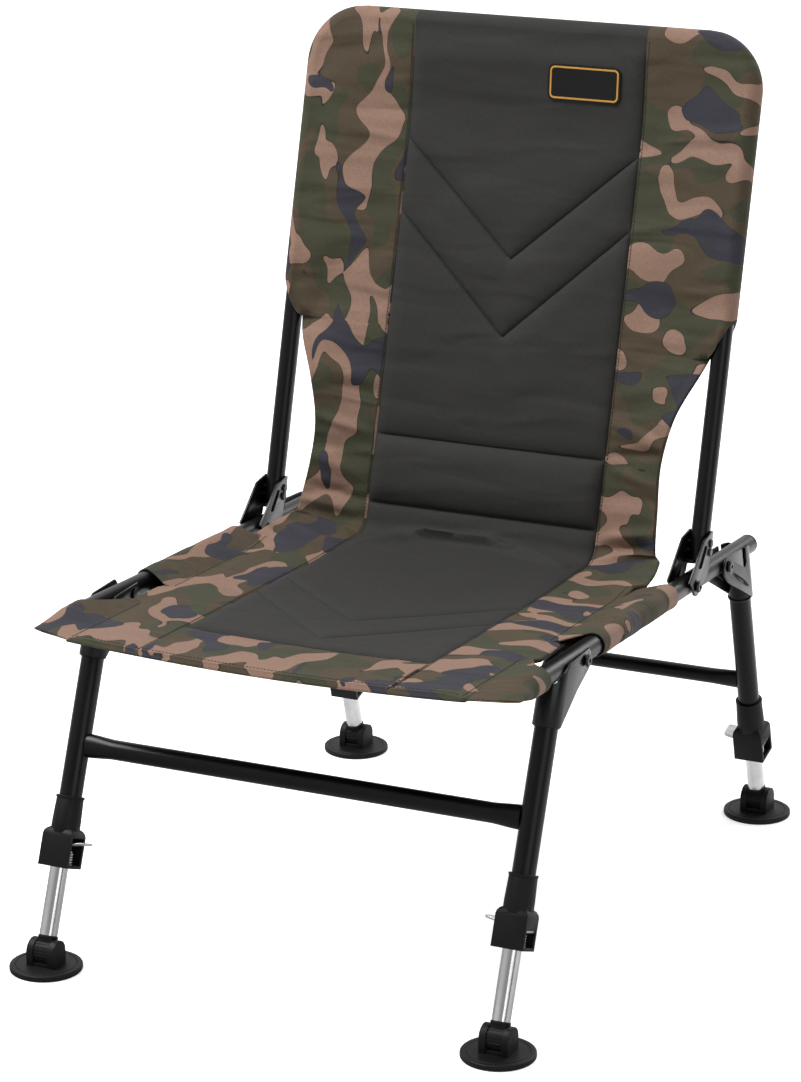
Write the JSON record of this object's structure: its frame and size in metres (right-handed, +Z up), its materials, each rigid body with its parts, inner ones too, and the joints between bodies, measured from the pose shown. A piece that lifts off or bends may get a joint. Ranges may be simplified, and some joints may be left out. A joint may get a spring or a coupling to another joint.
{
  "type": "carp fishing chair",
  "caption": "Low folding fishing chair: padded camouflage sling seat and back on steel tubes, telescopic legs with swivel feet.",
  "frame": {"origin": "on the floor, midway between the four feet", "axes": "+X to the right as the chair is seen from the front, +Y to the rear, +Z up"},
  "size_m": [0.5392, 0.7472, 0.8374],
  "materials": {
    "black_tube": "satin black powder coat",
    "grey_bracket": "semi-gloss dark grey paint",
    "black_plastic": "moulded nylon, fine grain",
    "chrome_tube": "bright plated steel",
    "zinc_steel": "zinc plated",
    "bolt_steel": "dark plated steel",
    "camo_fabric": "woven polyester, woodland pattern, padded",
    "badge_rubber": "moulded patch with a plain border"
  },
  "bodies": {
    "seat_frame": {"left_rail": "black_tube", "right_rail": "black_tube", "left_rail_front_cap": "black_plastic", "left_rail_rear_cap": "black_plastic", "right_rail_front_cap": "black_plastic", "right_rail_rear_cap": "black_plastic", "left_front_pivot_bolt": "bolt_steel", "left_back_pivot_bolt": "bolt_steel", "left_rear_pivot_bolt": "bolt_steel", "right_front_pivot_bolt": "bolt_steel", "right_back_pivot_bolt": "bolt_steel", "right_rear_pivot_bolt": "bolt_steel", "seat_cover": "camo_fabric"},
    "back": {"back_frame": "black_tube", "left_back_bracket": "grey_bracket", "right_back_bracket": "grey_bracket", "left_back_upper_rivet": "bolt_steel", "left_back_lower_rivet": "bolt_steel", "right_back_upper_rivet": "bolt_steel", "right_back_lower_rivet": "bolt_steel", "back_cover": "camo_fabric", "badge": "badge_rubber"},
    "front_legs": {"front_cross_tube": "black_tube", "left_front_leg_tube": "black_tube", "left_front_leg_bracket": "grey_bracket", "left_front_adjuster_housing": "black_plastic", "left_front_adjuster_spring": "zinc_steel", "right_front_leg_tube": "black_tube", "right_front_leg_bracket": "grey_bracket", "right_front_adjuster_housing": "black_plastic", "right_front_adjuster_spring": "zinc_steel"},
    "rear_legs": {"rear_cross_tube": "black_tube", "left_rear_leg_tube": "black_tube", "left_rear_leg_bracket": "grey_bracket", "left_rear_adjuster_housing": "black_plastic", "left_rear_adjuster_spring": "zinc_steel", "right_rear_leg_tube": "black_tube", "right_rear_leg_bracket": "grey_bracket", "right_rear_adjuster_housing": "black_plastic", "right_rear_adjuster_spring": "zinc_steel"},
    "left_front_telescope": {"left_front_inner_leg": "chrome_tube", "left_front_foot_hub": "black_plastic"},
    "left_front_lock": {"left_front_lock_plate": "zinc_steel"},
    "left_front_foot": {"left_front_foot_disc": "black_plastic"},
    "right_front_telescope": {"right_front_inner_leg": "chrome_tube", "right_front_foot_hub": "black_plastic"},
    "right_front_lock": {"right_front_lock_plate": "zinc_steel"},
    "right_front_foot": {"right_front_foot_disc": "black_plastic"},
    "left_rear_telescope": {"left_rear_inner_leg": "chrome_tube", "left_rear_foot_hub": "black_plastic"},
    "left_rear_lock": {"left_rear_lock_plate": "zinc_steel"},
    "left_rear_foot": {"left_rear_foot_disc": "black_plastic"},
    "right_rear_telescope": {"right_rear_inner_leg": "chrome_tube", "right_rear_foot_hub": "black_plastic"},
    "right_rear_lock": {"right_rear_lock_plate": "zinc_steel"},
    "right_rear_foot": {"right_rear_foot_disc": "black_plastic"}
  },
  "joints": [
    {"name": "back_fold", "type": "hinge", "parent": "seat_frame", "child": "back", "pos_m": [0, 0.10988, 0.31815], "axis": [1, 0, 0], "range_deg": [0, 100]},
    {"name": "front_legs_fold", "type": "hinge", "parent": "seat_frame", "child": "front_legs", "pos_m": [0, -0.17598, 0.32903], "axis": [1, 0, 0], "range_deg": [0, 105]},
    {"name": "rear_legs_fold", "type": "hinge", "parent": "seat_frame", "child": "rear_legs", "pos_m": [0, 0.19581, 0.31488], "axis": [-1, 0, 0], "range_deg": [0, 84]},
    {"name": "left_front_leg_slide", "type": "slide", "parent": "front_legs", "child": "left_front_telescope", "axis": [0, 0.3633, 0.9317], "range_m": [-0.048, 0.063]},
    {"name": "right_front_leg_slide", "type": "slide", "parent": "front_legs", "child": "right_front_telescope", "axis": [0, 0.3633, 0.9317], "range_m": [-0.048, 0.063]},
    {"name": "left_front_lock_press", "type": "hinge", "parent": "front_legs", "child": "left_front_lock", "pos_m": [-0.25, -0.30322, 0.10977], "axis": [0, 0.9317, -0.3633], "range_deg": [0, 9], "stiffness_Nm_per_rad": 1.5, "springref_deg": -17.19, "deforming": ["left_front_adjuster_spring"]},
    {"name": "right_front_lock_press", "type": "hinge", "parent": "front_legs", "child": "right_front_lock", "pos_m": [0.25, -0.30322, 0.10977], "axis": [0, -0.9317, 0.3633], "range_deg": [0, 9], "stiffness_Nm_per_rad": 1.5, "springref_deg": -17.19, "deforming": ["right_front_adjuster_spring"]},
    {"name": "left_front_foot_swivel", "type": "hinge", "parent": "left_front_telescope", "child": "left_front_foot", "pos_m": [-0.235, -0.339, 0.018], "axis": [1, 0, 0], "range_deg": [-81.3, 38.7]},
    {"name": "right_front_foot_swivel", "type": "hinge", "parent": "right_front_telescope", "child": "right_front_foot", "pos_m": [0.235, -0.339, 0.018], "axis": [1, 0, 0], "range_deg": [-81.3, 38.7]},
    {"name": "left_rear_leg_slide", "type": "slide", "parent": "rear_legs", "child": "left_rear_telescope", "axis": [0, -0.2783, 0.9605], "range_m": [-0.072, 0.039]},
    {"name": "right_rear_leg_slide", "type": "slide", "parent": "rear_legs", "child": "right_rear_telescope", "axis": [0, -0.2783, 0.9605], "range_m": [-0.072, 0.039]},
    {"name": "left_rear_lock_press", "type": "hinge", "parent": "rear_legs", "child": "left_rear_lock", "pos_m": [-0.25, 0.31827, 0.08956], "axis": [0, 0.9605, 0.2783], "range_deg": [0, 9], "stiffness_Nm_per_rad": 1.5, "springref_deg": -17.19, "deforming": ["left_rear_adjuster_spring"]},
    {"name": "right_rear_lock_press", "type": "hinge", "parent": "rear_legs", "child": "right_rear_lock", "pos_m": [0.25, 0.31827, 0.08956], "axis": [0, -0.9605, -0.2783], "range_deg": [0, 9], "stiffness_Nm_per_rad": 1.5, "springref_deg": -17.19, "deforming": ["right_rear_adjuster_spring"]},
    {"name": "left_rear_foot_swivel", "type": "hinge", "parent": "left_rear_telescope", "child": "left_rear_foot", "pos_m": [-0.235, 0.339, 0.018], "axis": [-1, 0, 0], "range_deg": [-76.2, 43.8]},
    {"name": "right_rear_foot_swivel", "type": "hinge", "parent": "right_rear_telescope", "child": "right_rear_foot", "pos_m": [0.235, 0.339, 0.018], "axis": [-1, 0, 0], "range_deg": [-76.2, 43.8]}
  ]
}
